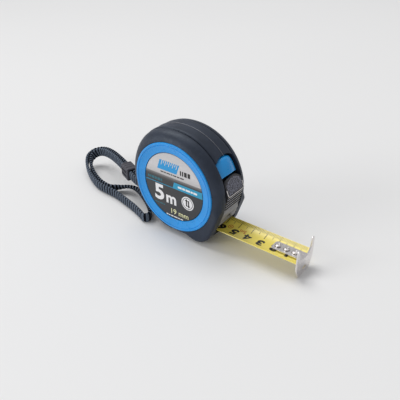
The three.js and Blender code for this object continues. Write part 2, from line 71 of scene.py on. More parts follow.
# Blade and hook
BLADE_HALF = 9.5
BLADE_CURVE_R = 21.6
BLADE_THICK = 0.45
BLADE_END_X = 90.0
BLADE_SPLIT_X = 36.0
BLADE_SHOWN_X = 28.6
BLADE_CENTRE_Z = 12.8 + math.sqrt(BLADE_CURVE_R ** 2 - BLADE_HALF ** 2)
ZERO_X = 90.3                   # inner face of the hook, where the scale starts
RIVET_XS = (72.3, 78.5, 84.3)
FIGURE_HEIGHT, FIGURE_Y = 6.8, -2.6
TICKS = ((10, 6.6, 0.2), (5, 4.3, 0.14), (1, 2.4, 0.14))    # one in so many, its length, half its width

# Strap
STRAP_WIDTH = 7.2
STRAP_THICK = 2.6
LAYER_OFFSET = 1.6
RIB_PITCH = 3.0
PAIR_ROUTE = [
    (-28.3, 0, 17.2), (-36, 0, 17.2), (-44, 0.4, 17.2), (-52.6, 2.3, 17.3), (-66.4, 8.1, 17.4),
    (-80.2, 13.9, 17.5), (-91, 18.2, 17), (-102, 22, 16), (-114, 24.6, 13.8), (-121.6, 22.4, 11.4),
    (-122.6, 16.2, 9), (-117, 9.4, 7.2), (-108.3, 3.4, 5.6), (-96.7, -2.2, 4.5), (-85.8, -5.6, 4.1),
    (-77.5, -6.2, 4),
]
OPEN_ROUTE = [
    (-68, -8.2, 4), (-54.3, -10.8, 4), (-40.3, -14.2, 4), (-31.6, -17.2, 4), (-27.2, -18.8, 4),
    (-24.6, -17.2, 4), (-25.9, -13.6, 4), (-30.2, -9.2, 4.1), (-36.5, -4.3, 4.4), (-45.9, 0.9, 5.2),
    (-55.7, 4.2, 5.8), (-64.5, 4.2, 5.4), (-71, 0.9, 4.4),
]
STOPPER_POS = (-66.4, 8.1, 17.4)
STOPPER_ANGLE = math.atan2(11.6, -27.6)
STOPPER_SIZE = (13.0, 9.0, 10.4)
TWIST_AT, TWIST_REACH, TWIST = Vector((-66.0, 3.0, 5.0)), 11.0, 52  # the loose layer lies over here

# Camera: azimuth, elevation and roll, the point it looks at, metres away from it, lens by sensor width
CAMERA_ANGLES = (37.94, 32.23, -0.70)
CAMERA_TARGET = (9.99, 0, 23.13)
CAMERA_AWAY = 0.333
SENSOR, LENS_SHARE = 36.0, 1.21

NOISE_RANGE = (0.3, 0.7)        # where nearly all values of a noise texture lie


# ---- meshes -------------------------------------------------------------------------------------

def tidy(obj, sharp=32.0):
    """Merges doubled points, turns faces outward and keeps edges sharper than that many degrees crisp."""
    bm = bmesh.new()
    bm.from_mesh(obj.data)
    bmesh.ops.remove_doubles(bm, verts=bm.verts, dist=1.5e-6)
    bmesh.ops.dissolve_degenerate(bm, dist=1e-6, edges=bm.edges)
    bmesh.ops.recalc_face_normals(bm, faces=bm.faces)
    limit = math.radians(sharp)
    for face in bm.faces:
        face.smooth = True
    for edge in bm.edges:
        edge.smooth = len(edge.link_faces) == 2 and edge.calc_face_angle(0) < limit
    bm.to_mesh(obj.data)
    bm.free()
    return obj


def linked(name, data):
    obj = bpy.data.objects.new(name, data)
    bpy.context.scene.collection.objects.link(obj)
    return obj


def solid(name, points, faces, sharp=32.0):
    mesh = bpy.data.meshes.new(name)
    mesh.from_pydata([Vector(p) * MM for p in points], [], faces)
    return tidy(linked(name, mesh), sharp)


def loft(name, rings, sharp=32.0):
    """A closed body through rings of equal length, with flat ends."""
    n = len(rings[0])
    points = [p for ring in rings for p in ring]
    faces = [tuple(range(n)), tuple(range(len(points) - n, len(points)))]
    for i in range(len(rings) - 1):
        for j in range(n):
            k = (j + 1) % n
            faces.append((i * n + j, i * n + k, (i + 1) * n + k, (i + 1) * n + j))
    return solid(name, points, faces, sharp)


PLACE = {
    "X": lambda a, b, c: (c, a, b),
    "Y": lambda a, b, c: (a, c, b),
    "Z": lambda a, b, c: (a, b, c),
}


def prism(name, outline, low, high, along="Y", sharp=32.0):
    """An outline in the two axes other than along, from low to high on that axis."""
    place = PLACE[along]
    return loft(name, [[place(a, b, c) for a, b in outline] for c in (low, high)], sharp)


def block(name, xs, ys, zs):
    outline = [(xs[0], zs[0]), (xs[1], zs[0]), (xs[1], zs[1]), (xs[0], zs[1])]
    return prism(name, outline, ys[0], ys[1])


def lathe(name, profile, x, z, along="Y", n=96, sharp=32.0):
    """A closed loop of (radius, distance along) turned round a line through (x, z)."""
    place = PLACE[along]
    points = []
    for i in range(n):
        angle = 2 * math.pi * i / n
        points += [place(x + r * math.cos(angle), z + r * math.sin(angle), t) for r, t in profile]
    m = len(profile)
    faces = []
    for i in range(n):
        for j in range(m):
            a, b = i * m, (i + 1) % n * m
            k = (j + 1) % m
            faces.append((a + j, a + k, b + k, b + j))
    return solid(name, points, faces, sharp)


def circle(radius, x, z, n):
    angles = [2 * math.pi * i / n for i in range(n)]
    return [(x + radius * math.cos(a), z + radius * math.sin(a)) for a in angles]


def disc(name, radius, x, z, low, high, n=96):
    return prism(name, circle(radius, x, z, n), low, high)


def settle(obj):
    """Applies the modifiers of a piece."""
    bpy.context.view_layer.update()
    depsgraph = bpy.context.evaluated_depsgraph_get()
    mesh = bpy.data.meshes.new_from_object(obj.evaluated_get(depsgraph))
    obj.modifiers.clear()
    obj.data = mesh


def carve(obj, tools, operation="DIFFERENCE", sharp=32.0, tangled=False):
    """Cuts, joins or crosses with the tools, which are removed. Tangled tools run through themselves."""
    for tool in tools:
        modifier = obj.modifiers.new("carve", "BOOLEAN")
        modifier.use_self = tangled
        modifier.operation = operation
        modifier.solver = "EXACT"
        modifier.object = tool
    settle(obj)
    for tool in tools:
        bpy.data.objects.remove(tool, do_unlink=True)
    return tidy(obj, sharp)


def round_edges(obj, width, segments=3, angle=35.0):
    modifier = obj.modifiers.new("round", "BEVEL")
    modifier.width = width * MM
    modifier.segments = segments
    modifier.limit_method = "ANGLE"
    modifier.angle_limit = math.radians(angle)
    modifier.use_clamp_overlap = True
    settle(obj)
    return tidy(obj, 50.0)


def turned(obj, angle, centre):
    """Turns a mesh in place about the line along Y through centre."""
    c = Vector(centre) * MM
    turn = Matrix.Translation(c) @ Matrix.Rotation(angle, 4, "Y") @ Matrix.Translation(-c)
    obj.data.transform(turn)
    return obj


def mirrored(obj, sharp=32.0):
    obj.data.transform(Matrix.Scale(-1, 4, (0, 1, 0)))
    return tidy(obj, sharp)


def merged(name, objects):
    """One object out of several, which are removed."""
    bm = bmesh.new()
    for obj in objects:
        bm.from_mesh(obj.data)
        bpy.data.objects.remove(obj, do_unlink=True)
    mesh = bpy.data.meshes.new(name)
    bm.to_mesh(mesh)
    bm.free()
    return linked(name, mesh)


def crisp(obj):
    """Flat parts of a rounded piece shade as flat."""
    modifier = obj.modifiers.new("normals", "WEIGHTED_NORMAL")
    modifier.keep_sharp = True
    return obj


def lettering(name, text, height, narrow, bold, depth):
    """Text as a closed body round the origin, in X and Y, with capitals of that height in millimetres."""
    curve = bpy.data.curves.new(name, "FONT")
    curve.body = text
    curve.size = 1.0
    curve.offset = bold
    curve.resolution_u = 5
    curve.extrude = 0.5
    text_object = linked(name, curve)
    depsgraph = bpy.context.evaluated_depsgraph_get()
    mesh = bpy.data.meshes.new_from_object(text_object.evaluated_get(depsgraph))
    bpy.data.objects.remove(text_object, do_unlink=True)
    obj = linked(name, mesh)
    corners = [v.co for v in mesh.vertices]
    low, high = (Vector(end(c[k] for c in corners) for k in range(3)) for end in (min, max))
    middle = (low + high) / 2
    scale = height / (high.y - low.y)
    size = Matrix.Diagonal((scale * narrow * MM, scale * MM, depth * MM, 1))
    obj.data.transform(size @ Matrix.Translation(-middle))
    return tidy(obj)


def raised(name, polygons, place, low, high):
    """A thin closed body over flat polygons. place turns (a, b, height) into a point."""
    index, points, edges, faces = {}, [], [], []
    for polygon in polygons:
        ring = []
        for a, b in polygon:
            key = (round(a, 3), round(b, 3))
            if key not in index:
                index[key] = len(points)
                points.append((a, b))
            if not ring or ring[-1] != index[key]:
                ring.append(index[key])
        if len(ring) > 2 and ring[0] == ring[-1]:
            ring.pop()
        if len(ring) < 3:
            continue
        faces.append(ring)
        edges += zip(ring, [*ring[1:], ring[0]])
    n = len(points)
    top = [tuple(ring) for ring in faces]
    bottom = [tuple(n + i for i in reversed(ring)) for ring in faces]
    edges = dict.fromkeys(edges)
    sides = [(a, b, n + b, n + a) for a, b in edges if (b, a) not in edges]
    body = [place(a, b, high) for a, b in points] + [place(a, b, low) for a, b in points]
    return solid(name, body, top + bottom + sides)


# ---- materials ----------------------------------------------------------------------------------

class Look:
    """A Principled material whose colour, roughness and bump are worked out from object coordinates."""

    def __init__(self, name, **values):
        self.material = bpy.data.materials.new(name)
        self.material.use_nodes = True
        self.tree = self.material.node_tree
        self.shader = self.tree.nodes["Principled BSDF"]
        for socket, value in values.items():
            self.shader.inputs[socket.replace("_", " ")].default_value = value
        self.place = self.add("ShaderNodeTexCoord").outputs["Object"]
        self.normal = None

    def add(self, kind, **settings):
        node = self.tree.nodes.new(kind)
        for key, value in settings.items():
            setattr(node, key, value)
        return node

    def link(self, output, node, socket):
        self.tree.links.new(output, node.inputs[socket])

    def stretched(self, x, y, z):
        node = self.add("ShaderNodeMapping")
        node.inputs["Scale"].default_value = (x, y, z)
        self.link(self.place, node, "Vector")
        return node.outputs["Vector"]

    def noise(self, grain, detail=3.0, place=None):
        """Noise whose grains are that many millimetres across."""
        node = self.add("ShaderNodeTexNoise")
        node.inputs["Scale"].default_value = 1 / (grain * MM)
        node.inputs["Detail"].default_value = detail
        self.link(place or self.place, node, "Vector")
        return node.outputs["Fac"]

    def cells(self, size):
        node = self.add("ShaderNodeTexVoronoi")
        node.inputs["Scale"].default_value = 1 / (size * MM)
        self.link(self.place, node, "Vector")
        return node.outputs["Distance"]

    def colours(self, factor, stops):
        node = self.add("ShaderNodeValToRGB")
        ramp = node.color_ramp
        while len(ramp.elements) < len(stops):
            ramp.elements.new(0.5)
        for element, (position, colour) in zip(ramp.elements, stops):
            element.position = position
            element.color = (*colour, 1)
        self.link(factor, node, "Fac")
        self.link(node.outputs["Color"], self.shader, "Base Color")
        return self

    def ranged(self, factor, source, target=(0.0, 1.0)):
        node = self.add("ShaderNodeMapRange")
        for socket, value in zip(("From Min", "From Max", "To Min", "To Max"), (*source, *target)):
            node.inputs[socket].default_value = value
        self.link(factor, node, "Value")
        return node.outputs["Result"]

    def height(self, low, high):
        """From 0 to 1 between two heights."""
        node = self.add("ShaderNodeSeparateXYZ")
        self.link(self.place, node, "Vector")
        return self.ranged(node.outputs["Z"], (low * MM, high * MM))

    def spread(self, factor, low, high):
        """Roughness between two values."""
        self.link(self.ranged(factor, NOISE_RANGE, (low, high)), self.shader, "Roughness")
        return self

    def bump(self, height, depth, strength):
        """A pattern that stands out by depth, in millimetres."""
        node = self.add("ShaderNodeBump")
        node.inputs["Strength"].default_value = strength
        node.inputs["Distance"].default_value = depth * MM
        self.link(height, node, "Height")
        if self.normal is not None:
            self.link(self.normal, node, "Normal")
        self.normal = node.outputs["Normal"]
        self.link(self.normal, self.shader, "Normal")
        return self


def shades(colour, low=0.85, high=1.15):
    return [(at, tuple(c * k for c in colour)) for at, k in zip(NOISE_RANGE, (low, high))]


def rubber_look():
    look = Look("grip_rubber", IOR=1.4, Sheen_Weight=0.05, Sheen_Roughness=0.4)
    look.shader.inputs["Sheen Tint"].default_value = (0.6, 0.65, 0.85, 1)
    look.shader.inputs["Specular Tint"].default_value = (0.78, 0.9, 1.0, 1)
    look.colours(look.noise(9, 4), shades((0.024, 0.030, 0.047), 0.8, 1.2))
    look.spread(look.noise(2.5), 0.4, 0.55)
    return look.bump(look.noise(0.35, 2), 0.02, 0.6).bump(look.noise(6, 2), 0.08, 0.25).material


def plastic_look(name, colour, roughness, grain=0.3, depth=0.02):
    look = Look(name, IOR=1.48)
    look.colours(look.noise(6, 3), shades(colour))
    look.spread(look.noise(1.2), roughness - 0.06, roughness + 0.08)
    return look.bump(look.noise(grain, 2), depth, 0.7).material


def stippled_look():
    look = Look("control_stipple", IOR=1.48)
    look.colours(look.cells(0.8), shades((0.085, 0.088, 0.115), 0.3, 2.2))
    look.spread(look.noise(0.6), 0.4, 0.62)
    return look.bump(look.cells(0.8), 0.12, 0.8).material


def blue_look(name, colour):
    look = Look(name, IOR=1.45, Coat_Weight=0.25, Coat_Roughness=0.1)
    look.colours(look.noise(12, 2), shades(colour, 0.93, 1.07))
    look.spread(look.noise(3), 0.26, 0.36)
    return look.bump(look.noise(0.8, 2), 0.004, 0.5).bump(look.noise(8, 1), 0.05, 0.15).material


def steel_look(name, colour, roughness, brushed=None):
    look = Look(name, Metallic=1.0)
    look.colours(look.noise(5, 3), shades(colour, 0.93, 1.05))
    place = look.stretched(*brushed) if brushed else look.place
    look.spread(look.noise(0.7, 3, place), roughness - 0.06, roughness + 0.1)
    return look.bump(look.noise(0.25, 3, place), 0.006, 0.5).material


def paint_look():
    look = Look("blade_paint", IOR=1.5, Coat_Weight=0.5, Coat_Roughness=0.2)
    look.colours(look.noise(7, 4), shades((0.90, 0.74, 0.115), 0.94, 1.05))
    look.spread(look.noise(1.5), 0.3, 0.42)
    return look.bump(look.noise(1.2, 2), 0.01, 0.4).material


def ink_look(name, colour):
    look = Look(name, IOR=1.5)
    look.colours(look.noise(0.7, 3), shades(colour, 0.92, 1.08))
    look.spread(look.noise(1.0), 0.35, 0.47)
    return look.bump(look.noise(0.25, 2), 0.004, 0.5).material


def label_look():
    """Charcoal film that turns to grey in a band below the silver cap."""
    look = Look("label_print", IOR=1.5, Coat_Weight=0.2, Coat_Roughness=0.25)
    look.colours(look.height(AXIS_Z + 3.6, AXIS_Z + 8.2), [
        (0.0, (0.022, 0.024, 0.027)), (0.35, (0.05, 0.05, 0.052)), (1.0, (0.30, 0.29, 0.29)),
    ])
    look.spread(look.noise(1.5), 0.34, 0.46)
    return look.bump(look.noise(0.3, 2), 0.004, 0.4).material


def silver_look():
    look = Look("label_silver", IOR=1.5, Metallic=0.25)
    look.colours(look.height(AXIS_Z + 7, AXIS_Z + 25), [
        (0.0, (0.50, 0.49, 0.49)), (0.3, (0.62, 0.61, 0.62)), (1.0, (0.56, 0.55, 0.56)),
    ])
    look.spread(look.noise(0.9), 0.34, 0.46)
    return look.bump(look.noise(0.2, 2), 0.004, 0.5).material


def braid_look():
    look = Look("strap_braid", IOR=1.4, Sheen_Weight=0.2, Sheen_Roughness=0.5)
    look.shader.inputs["Sheen Tint"].default_value = (0.5, 0.6, 0.8, 1)
    # Colour of the ribs' crests: the strap's navy, made lighter as a painted highlight against the painted
    # shade in the valleys
    look.colours(look.noise(0.8, 4), [
        (0.3, (0.05, 0.066, 0.09)), (0.55, (0.09, 0.115, 0.155)), (0.75, (0.16, 0.195, 0.245)),
    ])
    look.spread(look.noise(0.5), 0.68, 0.9)
    fibres = look.stretched(1, 1, 0.35)
    return look.bump(look.noise(0.22, 3, fibres), 0.12, 0.8).material


def braid_gap_look():
    """Painted shade: near-black yarn colour on the faces in the valleys between the braid's ribs, where shade
    falls.
    """
    look = Look("strap_braid_painted_shade", IOR=1.15)
    look.colours(look.noise(0.6, 3), shades((0.003, 0.004, 0.007), 0.7, 1.4))
    look.spread(look.noise(0.5), 0.9, 1.0)
    return look.bump(look.noise(0.2, 3), 0.08, 0.8).material


def floor_look():
    look = Look("floor_paper")
    look.colours(look.noise(400, 2), shades((0.80, 0.80, 0.80), 0.995, 1.005))
    look.spread(look.noise(30), 0.9, 0.95)
    return look.bump(look.noise(3, 2), 0.02, 0.2).material


LOOKS = {
    "rubber": rubber_look(),
    "case": plastic_look("case_plastic", (0.022, 0.022, 0.027), 0.5),
    "control": plastic_look("control_plastic", (0.05, 0.05, 0.066), 0.42, 0.25, 0.03),
    "stipple": stippled_look(),
    "blue": blue_look("blue_plastic", (0.010, 0.285, 0.74)),
    "cap": blue_look("blue_button", (0.012, 0.30, 0.74)),
    "steel": steel_look("bright_steel", (0.78, 0.75, 0.745), 0.24),
    "clip": steel_look("clip_steel", (0.62, 0.61, 0.6), 0.32, (1, 1, 0.08)),
    "spring": steel_look("spring_steel", (0.45, 0.45, 0.47), 0.35, (1, 0.1, 1)),
    "paint": paint_look(),
    "black": ink_look("print_black", (0.012, 0.011, 0.010)),
    "red": ink_look("print_red", (0.55, 0.12, 0.02)),
    "label": label_look(),
    "silver": silver_look(),
    "white": ink_look("print_white", (0.82, 0.82, 0.83)),
    "cyan": ink_look("print_cyan", (0.015, 0.30, 0.50)),
    "teal": ink_look("print_teal", (0.02, 0.13, 0.17)),
    "mark": ink_look("print_blue", (0.01, 0.30, 0.66)),
    "cream": ink_look("print_cream", (0.75, 0.74, 0.42)),
    "braid": braid_look(),
    # painted shade in the braid's valleys
    "braid_painted_shade": braid_gap_look(),
    # light grey: painted highlight along the parting line
    "seam": plastic_look("grip_seam_painted_highlight", (0.16, 0.165, 0.19), 0.45),
    # lighter grey for faces turned to the front: painted light
    "painted_light_facet": plastic_look("control_painted_light", (0.25, 0.25, 0.27), 0.36, 0.25, 0.03),
}


def finish(obj, look, body, slot, *nodes):
    """Gives a finished mesh its material, its body and the CAD nodes it stands for. slot is not used."""
    obj.data.materials.clear()
    obj.data.materials.append(LOOKS[look])
    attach(obj, body)
    if nodes:
        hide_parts(*nodes)
    return obj


def second_look(obj, look, chosen):
    """Gives the faces that chosen(face) picks another material."""
    obj.data.materials.append(LOOKS[look])
    for face in obj.data.polygons:
        if chosen(face):
            face.material_index = 1


# ---- camera and light ---------------------------------------------------------------------------

def make_camera():
    bpy.context.scene.view_settings.view_transform = "Standard"
    azimuth, elevation, roll = map(math.radians, CAMERA_ANGLES)
    back = Vector((
        math.sin(azimuth) * math.cos(elevation), -math.cos(azimuth) * math.cos(elevation),
        math.sin(elevation),
    ))
    right = Vector((0, 0, 1)).cross(back).normalized()
    up = back.cross(right)
    turned_right = right * math.cos(roll) + up * math.sin(roll)
    turned_up = up * math.cos(roll) - right * math.sin(roll)
    data = bpy.data.cameras.new("camera")
    data.sensor_width = SENSOR
    data.lens = SENSOR * LENS_SHARE
    data.clip_start = 0.01
    data.clip_end = 20.0
    camera = linked("camera", data)
    rotation = Matrix((turned_right, turned_up, back)).transposed()
    place = Vector(CAMERA_TARGET) * MM + back * CAMERA_AWAY
    camera.matrix_world = Matrix.Translation(place) @ rotation.to_4x4()
    bpy.context.scene.camera = camera


def aim(obj, place, target):
    direction = Vector(target) - Vector(place)
    obj.location = place
    obj.rotation_mode = "QUATERNION"
    obj.rotation_quaternion = direction.to_track_quat("-Z", "Y")


def make_lights():
    world = bpy.data.worlds.new("studio")
    world.use_nodes = True
    sky = world.node_tree.nodes["Background"].inputs
    sky["Color"].default_value = (1, 1, 1.01, 1)
    sky["Strength"].default_value = 0.46
    bpy.context.scene.world = world
    sun_data = bpy.data.lights.new("sun", "SUN")
    sun_data.energy = 1.35
    sun_data.angle = math.radians(35)
    aim(linked("sun", sun_data), (-0.6, 0.05, 1.0), (0, 0, 0))
    for name, place, size, power in (
        ("softbox", (-0.8, -1.1, 0.42), 0.6, 7.0),
        ("top", (-0.3, 0.5, 1.3), 0.5, 2.0),
    ):
        data = bpy.data.lights.new(name, "AREA")
        data.energy = power
        data.size = size
        aim(linked(name, data), place, (0.0, 0.0, 0.03))


def make_floor():
    reach = 4000
    corners = [(-reach, -reach), (reach, -reach), (reach, reach), (-reach, reach)]
    floor = solid("floor", [(x, y, -0.05) for x, y in corners], [(0, 1, 2, 3)])
    floor.data.materials.append(floor_look())


# ---- wrist strap --------------------------------------------------------------------------------

def curve_points(points, per_span=24):
    """A centripetal Catmull-Rom curve through the points."""
    p = [Vector(q) for q in points]
    p = [2 * p[0] - p[1], *p, 2 * p[-1] - p[-2]]
    line = []
    for i in range(1, len(p) - 2):
        a, b, c, d = p[i - 1:i + 3]
        t0, t1, t2 = ((v - u).length ** 0.5 for u, v in ((a, b), (b, c), (c, d)))
        start = ((b - a) / t0 - (c - a) / (t0 + t1) + (c - b) / t1) * t1
        end = ((c - b) / t1 - (d - b) / (t1 + t2) + (d - c) / t2) * t1
        for k in range(per_span):
            t = k / per_span
            line.append(
                (2 * t ** 3 - 3 * t ** 2 + 1) * b + (t ** 3 - 2 * t ** 2 + t) * start
                + (-2 * t ** 3 + 3 * t ** 2) * c + (t ** 3 - t ** 2) * end
            )
    return [*line, p[-2]]


def evenly(line, step):
    """The line's points again, all the same distance apart."""
    total = sum((b - a).length for a, b in zip(line, line[1:]))
    count = max(2, round(total / step))
    gap = total / count
    points, travelled, target = [line[0]], 0.0, gap
    for a, b in zip(line, line[1:]):
        length = (b - a).length
        while travelled + length >= target - 1e-9 and len(points) < count:
            points.append(a.lerp(b, (target - travelled) / length))
            target += gap
        travelled += length
    return [*points, line[-1]]


def tangents(points):
    ends = [points[0], *points, points[-1]]
    return [(ends[i + 2] - ends[i]).normalized() for i in range(len(points))]


def sideways(tangent):
    return Vector((-tangent.y, tangent.x, 0)).normalized()


def layer_points(side):
    """One layer of the folded pair, beside the pair's middle line."""
    steps = 30
    line = evenly(curve_points(PAIR_ROUTE), 0.1)
    line = [line[round(i * (len(line) - 1) / steps)] for i in range(steps + 1)]
    return [p + sideways(t) * side * LAYER_OFFSET for p, t in zip(line, tangents(line))]


def strap_route(step):
    points = [*layer_points(-1), *map(Vector, OPEN_ROUTE), *reversed(layer_points(1))]
    return evenly(curve_points(points), step)


def strap_section():
    """Points round the flat braid's rounded section, (thickness, width) from its middle."""
    half_t, half_w, power, count = STRAP_THICK / 2 - 0.1, STRAP_WIDTH / 2 - 0.1, 0.5, 20
    ring = []
    for i in range(count):
        angle = 2 * math.pi * (i + 0.5) / count
        c, s = math.cos(angle), math.sin(angle)
        ring.append((
            half_t * math.copysign(abs(c) ** power, c), half_w * math.copysign(abs(s) ** power, s),
        ))
    return ring


def twist_at(point, tangent):
    """How far the loose layer leans over: only on its way back along the table."""
    if tangent.x > 0 or point.z > 9 or point.y < -4:
        return 0.0
    return math.radians(TWIST) * math.exp(-((point - TWIST_AT).length / TWIST_REACH) ** 2)


def make_strap():
    line = strap_route(RIB_PITCH / 8)
    section = strap_section()
    rings, low, travelled = [], [], 0.0
    for i, (point, tangent) in enumerate(zip(line, tangents(line))):
        if i:
            travelled += (point - line[i - 1]).length
        normal = sideways(tangent)
        up = normal.cross(tangent).normalized()
        up = up if up.z > 0 else -up
        lean = twist_at(point, tangent)
        wide = up * math.cos(lean) + normal * math.sin(lean)
        thick = normal * math.cos(lean) - up * math.sin(lean)
        ring = []
        for a, b in section:
            phase = travelled / RIB_PITCH + 0.35 * abs(b) / STRAP_WIDTH
            rib = 0.7 * (abs(math.sin(math.pi * phase)) ** 0.7 - 0.8)
            outward = Vector((a, b)).normalized()
            ring.append(point + thick * (a + outward.x * rib) + wide * (b + outward.y * rib * 0.7))
        rings.append(ring)
        # low marks the rings in the ribs' valleys, whose faces get the painted shade material
        low.append((travelled / RIB_PITCH + 0.25) % 1 < 0.5)
    strap = loft("strap_braid", rings, 80)
    finish(strap, "braid", "case", "strap_braid", "wrist_strap")
    second_look(  # the first two faces are the ends
        strap, "braid_painted_shade", lambda face: face.index > 1 and low[(face.index - 2) // len(section)],
    )


def make_stopper():
    length, across, height = STOPPER_SIZE
    body = block("stopper_block", (-length / 2, length / 2), (-across / 2, across / 2),
                 (-height / 2, height / 2))
    body = round_edges(body, 1.3, 4)
    channel = block("channel", (-length, length), (-3.3, 3.3), (-4.0, 4.0))
    slots = []
    for z in (-1.7, 1.7):
        for y in (-across / 2, across / 2):
            slots.append(block("slot", (-4.2, 4.2), (y - 0.9, y + 0.9), (z - 0.75, z + 0.75)))
    waist = [lathe("grip", [(0, -9), (1.2, -9), (1.2, 9), (0, 9)], x, height / 2 + 0.75, n=24)
             for x in (-3.2, 0, 3.2)]
    body = carve(body, [channel, *slots, *waist])
    body = round_edges(body, 0.2, 2)
    body.data.transform(
        Matrix.Translation(Vector(STOPPER_POS) * MM) @ Matrix.Rotation(STOPPER_ANGLE, 4, "Z")
    )
    finish(crisp(body), "control", "stopper", "control_plastic", "strap_stopper")


# ---- case ---------------------------------------------------------------------------------------

def bezier(a, c, b, steps):
    """Points from a, drawn towards c, to just short of b."""
    points = []
    for i in range(steps):
        t = i / steps
        points.append(tuple(
            (1 - t) ** 2 * a[k] + 2 * t * (1 - t) * c[k] + t * t * b[k] for k in (0, 1)
        ))
    return points


def straight(a, b, steps):
    """Points from a to just short of b."""
    return [tuple(a[k] + (b[k] - a[k]) * i / steps for k in (0, 1)) for i in range(steps)]


def case_outline(inset, floor=None):
    """Round top and back, flat base, curved toe and front slope as (x, z), all moved in by inset."""
    floor = inset if floor is None else floor
    front = math.asin((NOSE_Z - AXIS_Z) / (CASE_R - inset))
    back = math.pi - math.asin((floor - AXIS_Z) / (CASE_R - inset))
    start, bend = (FOOT_FRONT_X - 0.3 * inset, floor), (26 - inset, floor + 0.5)
    chin = (CHIN[0] - inset, CHIN[1])
    round_part, arc = [], 100
    for i in range(arc + 1):
        angle = front + (back - front) * i / arc
        hump = HUMP * math.exp(-((math.degrees(angle) - HUMP_ANGLE) / HUMP_WIDTH) ** 2)
        r = CASE_R + hump - inset
        round_part.append((r * math.cos(angle), max(floor, AXIS_Z + r * math.sin(angle))))
    toe, slope = bezier(start, bend, chin, 14), straight(chin, round_part[0], 6)
    return [*toe, *slope, *round_part, *straight(round_part[-1], start, 8)[1:]]


def arch_window(half, low, side, top):
    """A window with upright sides and an arched top."""
    right = bezier((half, side), (half, top), (0, top), 14)
    left = bezier((0, top), (-half, top), (-half, side), 14)
    return [(-half, low), (half, low), *right, *left, (-half, side)]


def smooth(low, high, value):
    """From 0 at low to 1 at high, without a corner."""
    t = min(1.0, max(0.0, (value - low) / (high - low)))
    return t * t * (3 - 2 * t)


def rounding_share(x, z):
    """Part of the bulge's rounding that there is at (x, z): little at the toe and front slope."""
    angle = math.degrees(math.atan2(z - AXIS_Z, x))
    return 1 - (1 - BULGE_TIGHT) * smooth(-78, -56, angle) * (1 - smooth(-16, -4, angle))


def grip_rings(face, seam):
    """Outlines from the side face to the parting plane: bulge, groove and half of the middle band."""
    rim, inner = case_outline(0.0), case_outline(BULGE_ROUND)
    rings, steps = [], 12
    for k in range(steps + 1):
        turn = math.pi / 2 * k / steps
        across, along = 1 - math.sin(turn), 1 - math.cos(turn)
        ring = []
        for (x, z), (ix, iz) in zip(rim, inner):
            share = rounding_share(x, z)
            t = across * share
            y = face - (face + BULGE_END_Y) * share * along
            ring.append((x + (ix - x) * t, y, z + (iz - z) * t))
        rings.append(ring)
    profile = [
        (0.06, -9.5), (0.3, -9.28), (0.75, -9.12), (1.1, -9.0), (1.1, -8.86), (0.5, -8.7), (0.0, -8.5),
        (-0.35, -8.1), (-0.52, -7.5), (-0.6, -6.6), (-0.6, seam - 2.6), (-0.6, seam - 0.9),
        (-0.56, seam - 0.4), (-0.4, seam - 0.1), (-0.2, seam),
    ]
    for inset, y in profile:
        rings.append([(x, y, z) for x, z in case_outline(inset, max(inset, 0.0))])
    return rings


def make_grip(side, name):
    seam, face = (0.55, -17.0) if side < 0 else (-0.65, -15.9)
    grip = loft("grip_" + name, grip_rings(face, seam))
    pocket = prism("pocket", case_outline(SHELL_INSET - 0.3), -15.3, 8)
    tools = [
        round_edges(pocket, 3.3, 3, 50),
        disc("ring_seat", RING_OUT_R + 0.25, 0, AXIS_Z, -20, -15),
        block("mouth", (23, 42), (-10.6, 10.6), (9.2, 15.2)),
        prism("channel", arch_window(CHANNEL_HALF, 15.1, 57.5, 63.2), 22, 50, "X"),
        block("nose", (24, 50), (-CHANNEL_HALF, CHANNEL_HALF), (15.1, 25.8)),
        block("strap_hole", (-45, -25.4), (-3.6, 3.6), (12.6, 21.8)),
        block("foot", (1.4, 16.6), (-6.6, 6.6), (-2, 8)),
    ]
    grip = carve(grip, tools)
    grip = round_edges(grip, 0.3, 2, 50)
    if side > 0:
        grip = mirrored(grip, 50)
    finish(crisp(grip), "rubber", "case", "grip_rubber", "rubber_grip_" + name)
    if side < 0:
        make_seam_line()


def make_seam_line():
    """Thin raised line of moulding along the parting plane, over the top and back of the case, in light grey
    as a painted highlight along its ridge.
    """
    outline = [(x, z) for x, z in case_outline(-0.62) if z > 7]
    front = next(i for i, (x, z) in enumerate(outline) if z > 62.6 and x > 0)
    path = [(x, 0.42, z) for x, z in outline[front:]]
    finish(bead("seam_line_painted_highlight", path, 0.2), "seam", "case", "grip_rubber")


def make_ring(side, name):
    """Crest with a fine line turned into it, then a hollowed slope down to the label."""
    profile = [(RING_IN_R, -15.3), (RING_IN_R, -16.0), (RING_IN_R + 0.15, -16.25)]
    for i in range(1, 9):
        t = i / 8
        profile.append((RING_IN_R + 0.15 + 4.75 * t, -16.25 - 1.0 * t ** 1.5))
    profile += [
        (30.05, -17.05), (30.25, -17.0), (30.45, -17.3), (30.7, -17.48), (31.3, -17.5), (31.8, -17.4),
        (32.1, -17.1), (RING_OUT_R, -16.7), (RING_OUT_R, -15.3),
    ]
    ring = lathe("ring_" + name, profile, 0, AXIS_Z, n=160, sharp=28)
    if side > 0:
        holes = [disc("hole", 3.0, x, z, -20, -10, 32) for x, z in case_screw_places()]
        ring = carve(ring, holes, sharp=28)
        ring = mirrored(ring, 28)
    finish(ring, "blue", "case", "blue_plastic", "trim_ring_" + name)


def case_screw_places():
    return [
        (SCREW_CIRCLE_R * math.cos(math.radians(a)), AXIS_Z + SCREW_CIRCLE_R * math.sin(math.radians(a)))
        for a in SCREW_ANGLES
    ]


# ---- label --------------------------------------------------------------------------------------

def on_label(a, b, height):
    """A point of the label: a to the right and b up from the drum axis, standing out by height."""
    return (a, LABEL_Y - height, AXIS_Z + b)


def label_piece(name, polygons, look, low=0.0, high=0.06):
    finish(raised("label_" + name, polygons, on_label, low, high), look, "case", "label_print")


